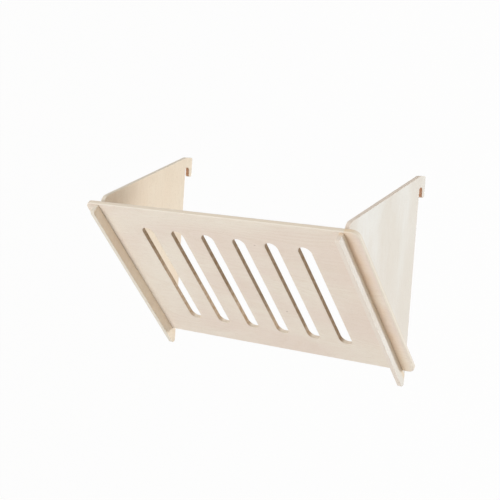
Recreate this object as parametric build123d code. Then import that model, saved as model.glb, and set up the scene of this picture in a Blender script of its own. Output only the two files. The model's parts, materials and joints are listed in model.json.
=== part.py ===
from build123d import *
import os
from math import cos, radians, sin

# A hay feeder for the outside of a wire cage: three plywood panels that plug together.
# Two upright side panels hang by hooks over a horizontal cage wire. A slotted front
# panel leans outward between them and crosses each of them in a halving (lap) joint.
#
# Frame: millimetres, +Z up, +X along the cage wall, +Y rearward into the cage.
# The X axis is the hanging line, through the centres of both hook notches' round
# tops, and the origin is on it, midway between the side panels.

# ---- Driving dimensions -----------------------------------------------------------

# all three panels
ply = 5.0                 # thickness
lap_gap = 0.3             # clearance beside each face of a lap joint, and at its floor

# front panel
panel_length = 203.0      # from the top edge to the bottom edge, along its face
panel_lean = 44.0         # degrees from upright, with the top edge furthest out
panel_corner = 8.0        # radius of its four corners
panel_edge_round = 1.2    # round-over of its outline
panel_drop = 38.1         # from the hanging line down to its face's top edge
ear = 14.4                # how far it stands out past each side panel
lap_depth = 101.5         # how far its two lap slots run up from the bottom edge
wall_gap = 1.7            # from its bottom rear edge to the side panels' rear edges

# feeding slots in the front panel
slot_count = 6
slot_width = 15.0
slot_length = 145.0
slot_pitch = 38.9
slot_top = 29.2           # from the panel's top edge to the slots' upper ends
slot_edge_round = 0.6     # round-over of the slots' edges

# side panels
side_spacing = 300.0      # between the middles of the two side panels
side_edge_round = 0.6     # round-over of their outlines
rail_width = 11.1         # the rail in front of the front panel's face
rail_start = 1.5          # from the front panel's top edge down to the rail's end
rail_corner = 3.0         # radius of the rail's upper front corner
body_rise = 2.2           # the top edge starts this far above the panel's top rear edge
body_corner = 9.0         # radius where the top edge turns down into the lap slot
tip_corner = 3.3          # radius of the pointed bottom

# hooks of the side panels
notch_radius = 3.4        # half the notch's width, and the radius of its round top
hook_crown = 11.5         # height of the wood over the notch
crown_length = 11.2       # the level top edge, from its bend to the arm's rear
crown_bend = 5.0          # radius between the level and the sloping top edge
crown_corner = 1.5        # radius of the upper rear corner
hook_arm = 5.2            # thickness of the arm that hangs down behind the wire
arm_drop = 7.1            # from the hanging line down to the arm's end
arm_corner = 2.2          # radius of both corners of the arm's end

# ---- Worked out from them ---------------------------------------------------------

lean = radians(panel_lean)
rear_edge = -notch_radius
panel_reach = panel_length * sin(lean) + ply * cos(lean) + wall_gap + notch_radius
panel_width = side_spacing + ply + 2 * ear
lap_width = ply + 2 * lap_gap
lap_floor = panel_length - lap_depth
crown_top = notch_radius + hook_crown
arm_rear = notch_radius + hook_arm


def beside_panel(down, out):
    """(Y, Z) of a point given by its way down the front panel and out from its face."""
    y = -panel_reach + down * sin(lean) - out * cos(lean)
    z = -panel_drop - down * cos(lean) - out * sin(lean)
    return (y, z)


def crossing(point_a, direction_a, point_b, direction_b):
    """Where two lines meet, each given by a point and a direction in (Y, Z)."""
    cross = direction_a[0] * direction_b[1] - direction_a[1] * direction_b[0]
    offset = (point_b[0] - point_a[0], point_b[1] - point_a[1])
    along = (offset[0] * direction_b[1] - offset[1] * direction_b[0]) / cross
    return (point_a[0] + along * direction_a[0], point_a[1] + along * direction_a[1])


def round_outline(panel, radius):
    """Rounds the edges all round the outlines of a panel's two broad faces."""
    broad_faces = panel.faces().sort_by(SortBy.AREA)[-2:]
    return fillet([edge for face in broad_faces for edge in face.outer_wire().edges()], radius)


# ---- Side panels ------------------------------------------------------------------


def side_profile():
    """The outline of a side panel in (Y, Z), with the lap slot and the hook notch."""
    down_panel = (sin(lean), -cos(lean))
    slot_rear = -(ply + lap_gap)
    slot_floor = lap_floor + lap_gap
    top_rear_y, top_rear_z = beside_panel(0, -ply)
    top_start = (top_rear_y, top_rear_z + body_rise)
    top_end = (arm_rear - crown_length, crown_top)
    top_run = (top_end[0] - top_start[0], top_end[1] - top_start[1])

    tip = crossing(beside_panel(0, rail_width), down_panel, (rear_edge, 0), (0, -1))
    rail_front = beside_panel(rail_start, rail_width)
    rail_rear = beside_panel(rail_start, lap_gap)
    floor_front = beside_panel(slot_floor, lap_gap)
    floor_rear = beside_panel(slot_floor, slot_rear)
    body_front = crossing(beside_panel(0, slot_rear), down_panel, top_start, top_run)

    corners = [
        (tip, tip_corner),
        (rail_front, rail_corner),
        (rail_rear, 0),
        (floor_front, 0),
        (floor_rear, 0),
        (body_front, body_corner),
        (top_end, crown_bend),
        ((arm_rear, crown_top), crown_corner),
        ((arm_rear, -arm_drop), arm_corner),
        ((notch_radius, -arm_drop), arm_corner),
    ]
    points = [(rear_edge, 0)] + [point for point, _ in corners] + [(notch_radius, 0)]
    outline = FilletPolyline(*points, radius=[radius for _, radius in corners])
    notch_top = ThreePointArc((notch_radius, 0), (0, notch_radius), (rear_edge, 0))
    return make_face([outline, notch_top])


def side_panel(side):
    """A side panel, on the left (-1) or on the right (+1)."""
    middle = Plane(origin=(side * side_spacing / 2, 0, 0), x_dir=(0, 1, 0), z_dir=(1, 0, 0))
    blank = extrude(middle * side_profile(), ply / 2, both=True)
    return round_outline(blank, side_edge_round)


# ---- Front panel ------------------------------------------------------------------

# The panel is drawn face up about the middle of its top edge: X across it, Y up it
# and Z out of its face. This plane then leans it into place.
panel_plane = Plane(
    origin=(0, -panel_reach, -panel_drop),
    x_dir=(1, 0, 0),
    z_dir=(0, -cos(lean), -sin(lean)),
)


def feeding_slots():
    """The cutters of the row of round-ended feeding slots."""
    slot_middle = -(slot_top + slot_length / 2)
    slot = SlotOverall(slot_length, slot_width, rotation=90)
    row = [
        Pos((index - (slot_count - 1) / 2) * slot_pitch, slot_middle) * slot
        for index in range(slot_count)
    ]
    return extrude(Sketch() + row, -ply)


def lap_slots():
    """The cutters of the two lap slots, open at the panel's bottom edge."""
    cutter = Rectangle(lap_width, lap_depth, align=(Align.CENTER, Align.MIN))
    pair = [Pos(side * side_spacing / 2, -panel_length) * cutter for side in (-1, 1)]
    return extrude(Sketch() + pair, -ply)


def front_panel():
    """The leaning front panel, in its place."""
    outline = Pos(0, -panel_length / 2) * RectangleRounded(panel_width, panel_length, panel_corner)
    panel = round_outline(extrude(outline, -ply), panel_edge_round)
    panel -= feeding_slots()
    slot_rims = [
        edge
        for face in panel.faces().sort_by(SortBy.AREA)[-2:]
        for wire in face.inner_wires()
        for edge in wire.edges()
    ]
    panel = fillet(slot_rims, slot_edge_round)
    panel -= lap_slots()
    return panel_plane * panel


# ---- Output -----------------------------------------------------------------------

pieces = {
    "front_panel": front_panel(),
    "left_side_panel": side_panel(-1),
    "right_side_panel": side_panel(1),
}

os.makedirs("parts", exist_ok=True)
for name, piece in pieces.items():
    export_step(piece, f"parts/{name}.step")
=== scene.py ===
"""A plywood hay feeder for a wire cage: finish, camera and light around its solids."""

import json
from math import cos, radians, sin

import bpy
from mathutils import Matrix, Vector

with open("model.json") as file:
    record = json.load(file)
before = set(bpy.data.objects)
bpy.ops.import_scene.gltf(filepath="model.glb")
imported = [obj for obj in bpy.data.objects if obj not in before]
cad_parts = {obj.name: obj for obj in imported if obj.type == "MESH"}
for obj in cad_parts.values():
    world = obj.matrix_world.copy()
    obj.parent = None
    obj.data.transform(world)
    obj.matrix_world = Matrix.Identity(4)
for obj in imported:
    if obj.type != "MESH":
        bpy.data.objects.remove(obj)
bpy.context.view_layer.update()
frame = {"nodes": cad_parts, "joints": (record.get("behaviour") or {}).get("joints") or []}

# ---- Directions ---------------------------------------------------------------------
# The leaning front panel slides up along its own slope.

ALONG_WALL = Vector((1, 0, 0))
REARWARD = Vector((0, 1, 0))
UPRIGHT = Vector((0, 0, 1))
UP_PANEL = Vector(frame["joints"][0]["axis"]).normalized()
OUT_OF_PANEL = ALONG_WALL.cross(UP_PANEL)

# ---- Sizes and places ---------------------------------------------------------------
# Millimetres, as in the panels' drawings. The world is in metres.

METRE = 1000.0


def reach(node, direction):
    """How far a panel reaches from the origin in a direction, in millimetres."""
    vertices = frame["nodes"][node].data.vertices
    return max(vertex.co.dot(direction) for vertex in vertices) * METRE


# The side panels, from the middle of the hanging line.
SIDE_OUTER = reach("right_side_panel", ALONG_WALL)
SIDE_INNER = -reach("right_side_panel", -ALONG_WALL)
SIDE_MIDDLE = (SIDE_OUTER + SIDE_INNER) / 2
NOTCH_RADIUS = 3.4
NOTCH_BOTTOM = -7.1             # up the panel, where the hook's arm ends

# The sheet that all three are cut from.
PLY = SIDE_OUTER - SIDE_INNER   # its thickness
CORE_HALF = 1.3                 # half the thickness of its middle layer

# The front panel, from the middle of its top edge.
TOP_EDGE = UP_PANEL * reach("front_panel", UP_PANEL)
TOP_EDGE += OUT_OF_PANEL * reach("front_panel", OUT_OF_PANEL)
SLOT_COUNT = 6                  # an even number: none is in the middle
SLOT_PITCH = 38.9
SLOT_RADIUS = 7.5
SLOT_MIDDLE = 101.7             # down the panel from its top edge
SLOT_STRAIGHT = 65.0            # half the straight part of a slot's sides
LAP_GAP = 0.3                   # between a lap slot's wall and the side panel in it
LAP_FLOOR = 101.5               # down the panel, where its lap slots end


# ---- Node trees ---------------------------------------------------------------------


class Tree:
    """A shader node tree, with a short call for each kind of node that the wood needs."""

    def __init__(self, tree):
        self.tree = tree

    def node(self, kind, **settings):
        node = self.tree.nodes.new(kind)
        for name, value in settings.items():
            setattr(node, name, value)
        return node

    def put(self, socket, value):
        """Links a socket to another one, or sets its value."""
        if isinstance(value, bpy.types.NodeSocket):
            self.tree.links.new(value, socket)
        else:
            socket.default_value = value

    def math(self, operation, *values, clamp=False):
        node = self.node("ShaderNodeMath", operation=operation, use_clamp=clamp)
        for socket, value in zip(node.inputs, values):
            self.put(socket, value)
        return node.outputs[0]

    def product(self, first, *others):
        for other in others:
            first = self.math("MULTIPLY", first, other)
        return first

    def vector(self, operation, *values):
        node = self.node("ShaderNodeVectorMath", operation=operation)
        for socket, value in zip(node.inputs, values):
            self.put(socket, value)
        scalar = operation in ("DOT_PRODUCT", "LENGTH", "DISTANCE")
        return node.outputs["Value" if scalar else "Vector"]

    def split(self, vector):
        node = self.node("ShaderNodeSeparateXYZ")
        self.put(node.inputs[0], vector)
        return node.outputs

    def join(self, x, y, z):
        node = self.node("ShaderNodeCombineXYZ")
        for socket, value in zip(node.inputs, (x, y, z)):
            self.put(socket, value)
        return node.outputs[0]

    def fade(self, value, start, end, low=0.0, high=1.0):
        """Goes smoothly from low to high while value goes from start to end."""
        node = self.node("ShaderNodeMapRange", interpolation_type="SMOOTHSTEP")
        for socket, number in zip(node.inputs, (value, start, end, low, high)):
            self.put(socket, number)
        return node.outputs[0]

    def shrink(self, place, size):
        """A place counted in lengths of the given size, which may differ along X, Y and Z."""
        return self.vector("MULTIPLY", place, tuple(1 / length for length in size))

    def noise(self, place, size, detail):
        """Noise from 0 to 1 whose clouds have about the given size."""
        node = self.node("ShaderNodeTexNoise")
        self.put(node.inputs["Vector"], self.shrink(place, size))
        self.put(node.inputs["Scale"], 1.0)
        self.put(node.inputs["Detail"], detail)
        return node.outputs[0]

    def mix(self, factor, first, second, blend="MIX"):
        """A mix of two colours."""
        node = self.node("ShaderNodeMix", data_type="RGBA", blend_type=blend)
        self.put(node.inputs[0], factor)
        self.put(node.inputs[6], first)
        self.put(node.inputs[7], second)
        return node.outputs[2]

    def mix_heights(self, factor, first, second):
        node = self.node("ShaderNodeMix", data_type="FLOAT")
        self.put(node.inputs[0], factor)
        self.put(node.inputs[2], first)
        self.put(node.inputs[3], second)
        return node.outputs[0]

    def group(self, group, **values):
        """Places a group. An underscore in a name stands for a space in the input's name."""
        node = self.node("ShaderNodeGroup", node_tree=group)
        for name, value in values.items():
            self.put(node.inputs[name.replace("_", " ")], value)
        return node.outputs


SOCKETS = {"float": "NodeSocketFloat", "vector": "NodeSocketVector", "color": "NodeSocketColor"}


def new_group(name, inputs, outputs):
    """A shader node group with named sockets: its tree, its inputs and its outputs."""
    group = bpy.data.node_groups.new(name, "ShaderNodeTree")
    for socket, kind in inputs.items():
        group.interface.new_socket(socket, in_out="INPUT", socket_type=SOCKETS[kind])
    for socket, kind in outputs.items():
        group.interface.new_socket(socket, in_out="OUTPUT", socket_type=SOCKETS[kind])
    tree = Tree(group)
    given = tree.node("NodeGroupInput").outputs
    out = tree.node("NodeGroupOutput").inputs
    return group, tree, given, out


def rgb(red, green, blue):
    """A colour given as screen values from 0 to 255, as the shader takes it."""
    def linear(value):
        value /= 255
        return value / 12.92 if value <= 0.04045 else ((value + 0.055) / 1.055) ** 2.4
    return (linear(red), linear(green), linear(blue), 1.0)


# ---- What wood and its cut edges look like ------------------------------------------
# Positions are in millimetres: X along the face veneer's grain, Y across it, and Z
# through the sheet from its middle. Shares say how strongly a colour takes over.

GROWTH_LINES = 17.0             # over the whole range of the noise that they follow
FIBRE_SHARE = 0.26
FIBRE_DEPTH = 0.6               # this and the other depths are parts of GRAIN_DEPTH
PORE_SHARE = 0.35
PORE_DEPTH = 0.7
PORE_TINT = (0.62, 0.55, 0.47, 1)

LAYER_WANDER = 0.14             # how far the glue lines wander through the sheet
LAYER_BLEND = 0.07              # half the width of the change from one layer to the next
STREAK_SHARE = 0.5
END_PORE_SHARE = 0.45
GLUE_SHARE = 0.45
GLUE_DEPTH = 0.4
END_GRAIN_TINT = (0.76, 0.69, 0.61, 1)

HALO_SHARE = 0.1                # of a cut's smoke halo on the face beside it


def make_veneer_group():
    """Rotary-cut birch: blotches, wandering growth lines, fibres and short pores."""
    group, tree, given, out = new_group(
        "Birch veneer",
        {"Position": "vector", "Pale": "color", "Blush": "color", "Line": "color",
         "Figure": "float"},
        {"Color": "color", "Height": "float", "Shine": "float"},
    )
    place = given["Position"]

    blotches = tree.noise(place, size=(150, 48, 40), detail=3)
    color = tree.mix(tree.fade(blotches, 0.34, 0.66), given["Pale"], given["Blush"])

    # Each growth line darkens slowly and ends sharply, as late wood does.
    field = tree.noise(place, size=(290, 46, 60), detail=1.6)
    ring = tree.math("FRACT", tree.product(field, GROWTH_LINES))
    patches = tree.noise(place, size=(90, 30, 30), detail=1)
    line = tree.product(
        tree.fade(ring, 0.25, 0.93),
        tree.fade(ring, 1.0, 0.95),
        tree.fade(patches, 0.35, 0.7, 0.25, 1.0),
        given["Figure"],
    )
    color = tree.mix(line, color, given["Line"])

    fibres = tree.noise(place, size=(14, 0.5, 0.5), detail=3)
    color = tree.mix(tree.fade(fibres, 0.3, 0.75, 0.0, FIBRE_SHARE), color, given["Line"])
    pores = tree.fade(tree.noise(place, size=(2.4, 0.16, 0.16), detail=1), 0.64, 0.72)
    pore_color = tree.mix(1.0, given["Line"], PORE_TINT, "MULTIPLY")
    color = tree.mix(tree.product(pores, PORE_SHARE), color, pore_color)
    height = tree.math(
        "SUBTRACT", tree.product(fibres, FIBRE_DEPTH), tree.product(pores, PORE_DEPTH))

    tree.put(out["Color"], color)
    tree.put(out["Height"], height)
    tree.put(out["Shine"], tree.product(fibres, tree.fade(blotches, 0.3, 0.7, 0.7, 1.0)))
    return group


def make_edge_group():
    """A sanded edge: three plies with their grain crossed, and the glue between them."""
    group, tree, given, out = new_group(
        "Ply edge",
        {"Position": "vector", "Facing Along": "float", "Long Grain": "color",
         "End Grain": "color"},
        {"Color": "color", "Height": "float"},
    )
    place = given["Position"]
    through = tree.split(place)[2]
    wander = tree.fade(tree.noise(place, size=(18, 18, 4), detail=1), 0.2, 0.8,
                       -LAYER_WANDER, LAYER_WANDER)
    depth = tree.math("ADD", tree.math("ABSOLUTE", through), wander)
    core = tree.fade(depth, CORE_HALF + LAYER_BLEND, CORE_HALF - LAYER_BLEND)
    from_glue = tree.math("ABSOLUTE", tree.math("SUBTRACT", depth, CORE_HALF))
    glue = tree.fade(from_glue, 0.16, 0.04)

    # A ply shows its end grain where the edge faces along its fibres.
    outer = tree.math("SUBTRACT", 1.0, core)
    outer_end = tree.math("POWER", given["Facing Along"], 2.0)
    core_end = tree.math("SUBTRACT", 1.0, outer_end)
    end = tree.math("ADD", tree.product(core, core_end), tree.product(outer, outer_end))

    streaks = tree.fade(tree.noise(place, size=(7, 7, 0.22), detail=3), 0.35, 0.7,
                        0.0, STREAK_SHARE)
    long_color = tree.mix(streaks, given["Long Grain"], given["End Grain"])
    dots = tree.noise(place, size=(0.35, 0.35, 0.28), detail=2)
    dark = tree.mix(1.0, given["End Grain"], END_GRAIN_TINT, "MULTIPLY")
    end_color = tree.mix(
        tree.fade(dots, 0.45, 0.7, 0.0, END_PORE_SHARE), given["End Grain"], dark)
    color = tree.mix(end, long_color, end_color)
    color = tree.mix(tree.product(glue, GLUE_SHARE), color, dark)
    height = tree.math(
        "SUBTRACT", tree.fade(dots, 0.2, 0.8, 1.0, 0.0), tree.product(glue, GLUE_DEPTH))

    tree.put(out["Color"], color)
    tree.put(out["Height"], height)
    return group


def make_scorch_group():
    """Browning by the laser, full where it cuts across the fibres, with a faint halo.

    Along Fibres is how much of it there is where the laser follows the fibres.
    """
    group, tree, given, out = new_group(
        "Laser scorch",
        {"Position": "vector", "Distance": "float", "Wall": "float", "Facing Along": "float",
         "Along Fibres": "float", "Reach": "float"},
        {"Mask": "float"},
    )
    smoke = tree.noise(given["Position"], size=(5, 5, 5), detail=3)
    streaks = tree.noise(given["Position"], size=(0.5, 0.5, 9), detail=2)
    burnt = tree.fade(tree.math("ADD", smoke, streaks), 0.7, 1.3, 0.65, 1.0)

    on_cut = tree.product(tree.fade(given["Distance"], 1.0, 0.6), given["Wall"])
    across = tree.fade(given["Facing Along"], 0.45, 0.97)
    wall = tree.product(on_cut, tree.math("MAXIMUM", across, given["Along Fibres"]))

    halo_reach = tree.product(given["Reach"], tree.fade(smoke, 0.3, 0.7, 0.5, 1.5))
    way_out = tree.math("DIVIDE", given["Distance"], halo_reach)
    halo = tree.math("POWER", tree.math("SUBTRACT", 1.0, way_out, clamp=True), 2.0)
    halo = tree.product(halo, HALO_SHARE)
    tree.put(out["Mask"], tree.product(tree.math("MAXIMUM", wall, halo), burnt))
    return group


def make_specks_group():
    """A few pin knots and dark flecks, each drawn out along the grain."""
    group, tree, given, out = new_group(
        "Specks", {"Position": "vector", "Share": "float"}, {"Mask": "float"})
    cells = tree.node("ShaderNodeTexVoronoi", voronoi_dimensions="3D", feature="F1")
    tree.put(cells.inputs["Vector"], tree.shrink(given["Position"], (26, 12, 9)))
    tree.put(cells.inputs["Scale"], 1.0)
    speck = tree.fade(cells.outputs["Distance"], 0.07, 0.02)
    chance = tree.split(cells.outputs["Color"])[0]
    shown = tree.math("LESS_THAN", chance, given["Share"])
    tree.put(out["Mask"], tree.product(speck, shown))
    return group


def make_painted_shade_group():
    """Painted shade: a warm, cloudy darkening that stands in for the shade where a panel meets
    its neighbouring panel.
    """
    group, tree, given, out = new_group(
        "Painted shade",
        {"Position": "vector", "Closeness": "float", "Share": "float"},
        {"Mask": "float"},
    )
    clouds = tree.noise(given["Position"], size=(22, 22, 12), detail=2)
    cloudy = tree.fade(clouds, 0.3, 0.65, 0.6, 1.0)
    tree.put(out["Mask"], tree.product(cloudy, given["Closeness"], given["Share"]))
    return group


VENEER = make_veneer_group()
EDGE = make_edge_group()
SCORCH = make_scorch_group()
SPECKS = make_specks_group()
PAINTED_SHADE_GROUP = make_painted_shade_group()


# ---- Where each panel is cut and where shade is painted on it, in its own drawing ---
# The front panel's drawing has X across it and Y up it from its top edge. A side
# panel's has X up and Y rearward from the hanging line.


def front_panel_cuts(tree, x, y):
    """How far a point of the front panel is from its feeding slots and lap slots."""
    column = tree.math("FLOOR", tree.math("DIVIDE", x, SLOT_PITCH))
    slot_axis = tree.product(tree.math("ADD", column, 0.5), SLOT_PITCH)
    aside = tree.math("SUBTRACT", x, slot_axis)
    from_middle = tree.math("ABSOLUTE", tree.math("ADD", y, SLOT_MIDDLE))
    past_end = tree.math("MAXIMUM", tree.math("SUBTRACT", from_middle, SLOT_STRAIGHT), 0.0)
    from_axis = tree.vector("LENGTH", tree.join(aside, past_end, 0.0))
    feeding = tree.math("SUBTRACT", from_axis, SLOT_RADIUS)
    beside_row = tree.math("SUBTRACT", tree.math("ABSOLUTE", x), SLOT_COUNT / 2 * SLOT_PITCH)
    feeding = tree.math("MAXIMUM", feeding, beside_row)

    from_lap = tree.math("SUBTRACT", tree.math("ABSOLUTE", x), SIDE_MIDDLE)
    lap = tree.math("SUBTRACT", tree.math("ABSOLUTE", from_lap), PLY / 2 + LAP_GAP)
    lap = tree.math("MAXIMUM", lap, tree.math("ADD", y, LAP_FLOOR))
    return tree.math("MINIMUM", feeding, lap)


def side_panel_cuts(tree, x, y):
    """How far a point of a side panel is from its hook notch."""
    over_round = tree.math("MAXIMUM", x, 0.0)
    from_axis = tree.vector("LENGTH", tree.join(over_round, y, 0.0))
    notch = tree.math("SUBTRACT", from_axis, NOTCH_RADIUS)
    return tree.math("MAXIMUM", notch, tree.math("SUBTRACT", NOTCH_BOTTOM, x))


def front_panel_painted_shade(tree, x, y):
    """Painted shade at the foot of the front panel's right ear, beside the rail, and less further
    out.
    """
    beyond_rail = tree.math("SUBTRACT", x, SIDE_OUTER)
    return tree.product(tree.fade(beyond_rail, 15.0, 0.5), tree.fade(beyond_rail, -0.6, -0.2))


def side_panel_painted_shade(tree, x, y):
    """Painted shade at the foot of a side panel's rail, beside the front panel's face."""
    down = tree.product(tree.math("SUBTRACT", x, TOP_EDGE.z), OUT_OF_PANEL.z)
    forward = tree.product(tree.math("SUBTRACT", y, TOP_EDGE.y), OUT_OF_PANEL.y)
    before_face = tree.math("ADD", down, forward)
    return tree.product(tree.fade(before_face, 6.0, 0.5), tree.fade(before_face, -0.6, -0.2))


# ---- The plywood of one panel -------------------------------------------------------

SPECKS_SHOWN = 0.05             # of all the places where one could be
SPECK_SHARE = 0.6
SPECK = rgb(128, 92, 66)
SCORCH_SHARE = 0.85
SCORCH_REACH = 1.6              # of a cut's smoke halo, in millimetres
# The tint that the painted shade at the rails' feet multiplies in.
PAINTED_SHADE_TINT = (0.98, 0.86, 0.70, 1)
RUBBED_SHARE = 0.3

PLAIN_ROUGHNESS = 0.72
SHINE_SMOOTHS = 0.22
RUBBING_SMOOTHS = 0.08
SCORCH_ROUGHENS = 0.12
SPECULAR_LEVEL = 0.35
GRAIN_STRENGTH = 0.35
GRAIN_DEPTH = 0.00012           # metres


def make_plywood(name, grain, across, middle, cuts, painted_shade_where, shift, tones):
    """Birch plywood for one panel, whose face veneer's grain runs along one direction.

    middle is the point in the middle of the sheet that its drawing starts from. cuts
    gives the distance to its laser cuts, the argument after it says where shade is
    painted on the wood, and shift moves it to another stretch of veneer.
    """
    through = grain.cross(across)
    turn = Matrix((grain, across, through))
    material = bpy.data.materials.new(name)
    material.use_nodes = True
    tree = Tree(material.node_tree)
    shader = material.node_tree.nodes["Principled BSDF"]
    coordinates = tree.node("ShaderNodeTexCoord").outputs

    mapping = tree.node("ShaderNodeMapping")
    tree.put(mapping.inputs["Vector"], coordinates["Object"])
    tree.put(mapping.inputs["Scale"], (METRE, METRE, METRE))
    tree.put(mapping.inputs["Rotation"], turn.to_euler())
    tree.put(mapping.inputs["Location"], -(turn @ middle))
    place = mapping.outputs[0]
    x, y = tree.split(place)[:2]
    veneer_place = tree.vector("ADD", place, shift)

    facing = tree.math("ABSOLUTE", tree.vector("DOT_PRODUCT", coordinates["Normal"], through))
    facing_along = tree.math(
        "ABSOLUTE", tree.vector("DOT_PRODUCT", coordinates["Normal"], grain))
    edge_mask = tree.fade(facing, 0.93, 0.80)
    wall_mask = tree.fade(facing, 0.6, 0.3)

    veneer = tree.group(VENEER, Position=veneer_place, Pale=tones["pale"],
                        Blush=tones["blush"], Line=tones["line"], Figure=tones["figure"])
    edge = tree.group(EDGE, Position=place, Facing_Along=facing_along,
                      Long_Grain=tones["edge"], End_Grain=tones["end"])
    color = tree.mix(edge_mask, veneer["Color"], edge["Color"])

    specks = tree.group(SPECKS, Position=veneer_place, Share=SPECKS_SHOWN)["Mask"]
    color = tree.mix(tree.product(specks, SPECK_SHARE), color, SPECK)

    scorch = tree.group(SCORCH, Position=place, Distance=cuts(tree, x, y), Wall=wall_mask,
                        Facing_Along=facing_along, Reach=SCORCH_REACH,
                        Along_Fibres=tones["scorch_along"])["Mask"]
    color = tree.mix(tree.product(scorch, SCORCH_SHARE), color, tones["scorch"])

    # Painted shade: a warm darkening at the foot of the rails, where they meet the front panel's
    # face.
    painted_shade = tree.group(PAINTED_SHADE_GROUP, Position=place, Closeness=painted_shade_where(tree, x, y),
                         Share=tones["painted_shade"])["Mask"]
    color = tree.mix(painted_shade, color, tree.mix(1.0, color, PAINTED_SHADE_TINT, "MULTIPLY"))

    # Sanding leaves the rounded rims a little smoother, and handling a little darker.
    rim = tree.product(tree.fade(facing, 0.99, 0.90), tree.fade(facing, 0.2, 0.5))
    wear = tree.fade(tree.noise(place, size=(16, 16, 6), detail=2), 0.35, 0.7)
    rubbed = tree.product(rim, wear)
    color = tree.mix(tree.product(rubbed, RUBBED_SHARE), color, tones["end"])

    shine = tree.product(veneer["Shine"], SHINE_SMOOTHS)
    roughness = tree.math("SUBTRACT", PLAIN_ROUGHNESS, shine)
    roughness = tree.math("SUBTRACT", roughness, tree.product(rubbed, RUBBING_SMOOTHS))
    roughness = tree.math("ADD", roughness, tree.product(scorch, SCORCH_ROUGHENS))

    bump = tree.node("ShaderNodeBump")
    height = tree.mix_heights(edge_mask, veneer["Height"], edge["Height"])
    tree.put(bump.inputs["Height"], height)
    tree.put(bump.inputs["Strength"], GRAIN_STRENGTH)
    tree.put(bump.inputs["Distance"], GRAIN_DEPTH)

    tree.put(shader.inputs["Base Color"], color)
    tree.put(shader.inputs["Roughness"], roughness)
    tree.put(shader.inputs["Normal"], bump.outputs[0])
    tree.put(shader.inputs["Specular IOR Level"], SPECULAR_LEVEL)
    return material


# The side panels are cut from paler sheets than the front panel. Each table's last entry says how
# much painted shade its panel gets at the rails' feet.
FRONT_TONES = {
    "pale": rgb(238, 228, 216),
    "blush": rgb(234, 219, 208),
    "line": rgb(214, 190, 168),
    "edge": rgb(240, 231, 220),
    "end": rgb(235, 223, 208),
    "scorch": rgb(152, 112, 62),
    "scorch_along": 0.05,
    "figure": 0.15,
    "painted_shade": 0.9,
}
# The left side panel's lighter, warmer tones are partly its own sheet and partly painted light,
# lifting its shaded rail and inner face.
LEFT_TONES = {
    "pale": rgb(246, 234, 217),
    "blush": rgb(244, 228, 209),
    "line": rgb(218, 198, 173),
    "edge": rgb(236, 230, 219),
    "end": rgb(230, 220, 206),
    "scorch": rgb(200, 134, 80),
    "scorch_along": 0.9,
    "figure": 0.11,
    "painted_shade": 0.2,
}
RIGHT_TONES = {
    "pale": rgb(242, 240, 237),
    "blush": rgb(233, 226, 218),
    "line": rgb(218, 207, 194),
    "edge": rgb(239, 229, 221),
    "end": rgb(234, 221, 209),
    "scorch": rgb(200, 134, 80),
    "scorch_along": 0.9,
    "figure": 0.11,
    "painted_shade": 1.0,
}


def dress(node, material):
    """Gives a panel its plywood."""
    for slot in frame["nodes"][node].material_slots:
        slot.material = material


dress("front_panel", make_plywood(
    "Front panel plywood", ALONG_WALL, UP_PANEL, TOP_EDGE - OUT_OF_PANEL * PLY / 2,
    front_panel_cuts, front_panel_painted_shade, shift=(40, 12, 3), tones=FRONT_TONES))
dress("left_side_panel", make_plywood(
    "Left side plywood", UPRIGHT, REARWARD, -ALONG_WALL * SIDE_MIDDLE,
    side_panel_cuts, side_panel_painted_shade, shift=(310, 95, 21), tones=LEFT_TONES))
dress("right_side_panel", make_plywood(
    "Right side plywood", UPRIGHT, REARWARD, ALONG_WALL * SIDE_MIDDLE,
    side_panel_cuts, side_panel_painted_shade, shift=(620, 188, 55), tones=RIGHT_TONES))


# ---- Floor, camera and light --------------------------------------------------------
# In metres, degrees and watts.

WHITE = (1, 1, 1, 1)
PAPER_WHITENESS = 0.96          # how much of the backdrop's shading the camera doesn't see
PAPER_ROUGHNESS = 0.9
PAPER_SPECULAR = 0.1
BEND_STEPS = 24                 # of the bend between the floor and the backdrop
SKY_COLOR = (1.0, 0.945, 0.85, 1)
LAMP_TARGET = Vector((0, -0.08, -0.09))     # the middle of the feeder


def seen_directly(tree):
    """One where the camera sees a surface directly, or in gloss or through glass."""
    rays = tree.node("ShaderNodeLightPath").outputs
    direct = tree.math("MAXIMUM", rays["Is Camera Ray"], rays["Is Glossy Ray"])
    return tree.math("MAXIMUM", direct, rays["Is Transmission Ray"])


def make_studio_material():
    """Pale paper, which the camera sees as white, apart from a part of its shadows."""
    material = bpy.data.materials.new("Pale paper")
    material.use_nodes = True
    tree = Tree(material.node_tree)
    paper = material.node_tree.nodes["Principled BSDF"]
    place = tree.node("ShaderNodeTexCoord").outputs["Object"]
    tone = tree.noise(place, size=(1 / 3, 1 / 3, 1 / 3), detail=2)
    color = tree.mix(tree.fade(tone, 0.3, 0.7), rgb(244, 244, 244), rgb(240, 240, 240))
    tree.put(paper.inputs["Base Color"], color)
    tree.put(paper.inputs["Roughness"], PAPER_ROUGHNESS)
    tree.put(paper.inputs["Specular IOR Level"], PAPER_SPECULAR)
    white = tree.node("ShaderNodeEmission")
    tree.put(white.inputs["Color"], WHITE)
    tree.put(white.inputs["Strength"], 1.0)
    seen = tree.node("ShaderNodeMixShader")
    tree.put(seen.inputs[0], tree.product(seen_directly(tree), PAPER_WHITENESS))
    tree.put(seen.inputs[1], paper.outputs[0])
    tree.put(seen.inputs[2], white.outputs[0])
    surface = material.node_tree.nodes["Material Output"].inputs["Surface"]
    tree.put(surface, seen.outputs[0])
    return material


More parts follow.
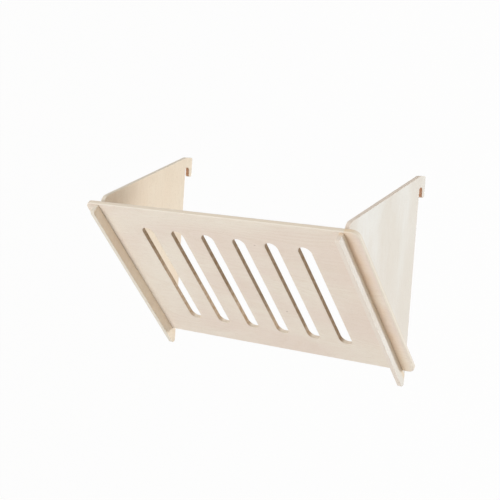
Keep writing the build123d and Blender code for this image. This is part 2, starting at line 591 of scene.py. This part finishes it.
def make_studio(floor_height, wall_distance, wall_height, bend, width, front):
    """A floor that bends up into a backdrop, as one smooth sheet."""
    profile = [(-front, floor_height), (wall_distance - bend, floor_height)]
    for step in range(1, BEND_STEPS + 1):
        angle = radians(90) * step / BEND_STEPS
        y = wall_distance - bend + bend * sin(angle)
        z = floor_height + bend - bend * cos(angle)
        profile.append((y, z))
    profile.append((wall_distance, floor_height + wall_height))
    corners = [(side * width / 2, y, z) for y, z in profile for side in (-1, 1)]
    faces = [(2 * i, 2 * i + 1, 2 * i + 3, 2 * i + 2) for i in range(len(profile) - 1)]
    mesh = bpy.data.meshes.new("studio_floor")
    mesh.from_pydata(corners, [], faces)
    mesh.shade_smooth()
    sheet = bpy.data.objects.new("studio_floor", mesh)
    bpy.context.collection.objects.link(sheet)
    mesh.materials.append(make_studio_material())


def make_lamp(name, towards, distance, size, power, color):
    """A square soft light on the side that the given direction points to."""
    lamp = bpy.data.lights.new(name, "AREA")
    lamp.size = size
    lamp.energy = power
    lamp.color = color
    holder = bpy.data.objects.new(name, lamp)
    holder.location = LAMP_TARGET + Vector(towards).normalized() * distance
    aim = LAMP_TARGET - holder.location
    holder.rotation_euler = aim.to_track_quat("-Z", "Y").to_euler()
    holder.visible_camera = False
    bpy.context.collection.objects.link(holder)


def make_camera(location, azimuth, elevation, roll, lens):
    """A camera that looks rearward, turned left by azimuth, down by elevation, and rolled."""
    camera = bpy.data.objects.new("Camera", bpy.data.cameras.new("Camera"))
    camera.data.lens = lens
    camera.data.clip_start = 0.01
    turn = Matrix.Rotation(radians(azimuth), 4, "Z")
    turn = turn @ Matrix.Rotation(radians(90 - elevation), 4, "X")
    turn = turn @ Matrix.Rotation(radians(roll), 4, "Z")
    camera.matrix_world = Matrix.Translation(location) @ turn
    bpy.context.collection.objects.link(camera)
    bpy.context.scene.camera = camera


def make_sky(strength, seen):
    """Even light from all round; the camera sees a plain white behind the backdrop."""
    world = bpy.data.worlds.new("Studio")
    bpy.context.scene.world = world
    world.use_nodes = True
    tree = Tree(world.node_tree)
    background = world.node_tree.nodes["Background"]
    direct = seen_directly(tree)
    level = tree.math("ADD", strength, tree.product(direct, seen - strength))
    tree.put(background.inputs["Strength"], level)
    tree.put(background.inputs["Color"], tree.mix(direct, SKY_COLOR, WHITE))


make_studio(floor_height=-1.5, wall_distance=2.2, wall_height=4.0, bend=0.9, width=9.0, front=3.0)
make_camera(Vector((0.67846, -1.06338, 0.03710)),
            azimuth=34.49, elevation=5.29, roll=3.83, lens=83.41)
make_sky(strength=0.46, seen=0.98)
make_lamp("Key light", towards=(1.0, 0.35, 0.11), distance=2.4, size=0.28,
          power=25.5, color=(0.91, 0.97, 1.0))
make_lamp("Front fill", towards=(-0.22, -0.9, -0.08), distance=2.2, size=1.0,
          power=24.5, color=(0.91, 0.965, 1.0))
make_lamp("Top light", towards=(0.1, -0.4, 1.0), distance=1.6, size=0.8,
          power=3.5, color=(1.0, 0.99, 0.98))
make_lamp("Back fill", towards=(-0.5, 1.0, 0.25), distance=2.0, size=1.2,
          power=10.0, color=(1.0, 0.98, 0.96))

bpy.context.scene.view_settings.view_transform = "Standard"
